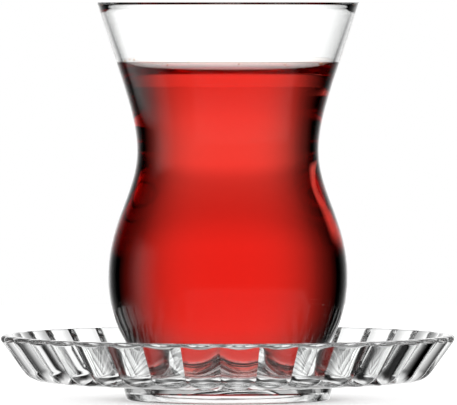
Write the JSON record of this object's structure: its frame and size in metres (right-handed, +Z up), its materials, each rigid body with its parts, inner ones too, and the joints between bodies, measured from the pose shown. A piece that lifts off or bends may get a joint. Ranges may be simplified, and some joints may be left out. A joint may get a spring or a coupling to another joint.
{
  "type": "turkish tea glass with its saucer, filled with tea",
  "caption": "Thin-waisted tulip glass of black tea standing on a clear glass saucer with a fluted wall and a foot ring.",
  "frame": {"origin": "centre of the saucer's foot ring, on the surface that it stands on", "axes": "+Z up along the axis of the glass and saucer, +X to the viewer's right, -Y towards the viewer"},
  "size_m": [0.108, 0.108, 0.0947],
  "materials": {
    "saucer_glass": "clear pressed glass, polished",
    "tea_glass": "clear blown glass, polished",
    "black_tea": "clear deep red liquid"
  },
  "bodies": {
    "root": {"saucer": "saucer_glass", "glass": "tea_glass", "tea": "black_tea"}
  },
  "joints": []
}
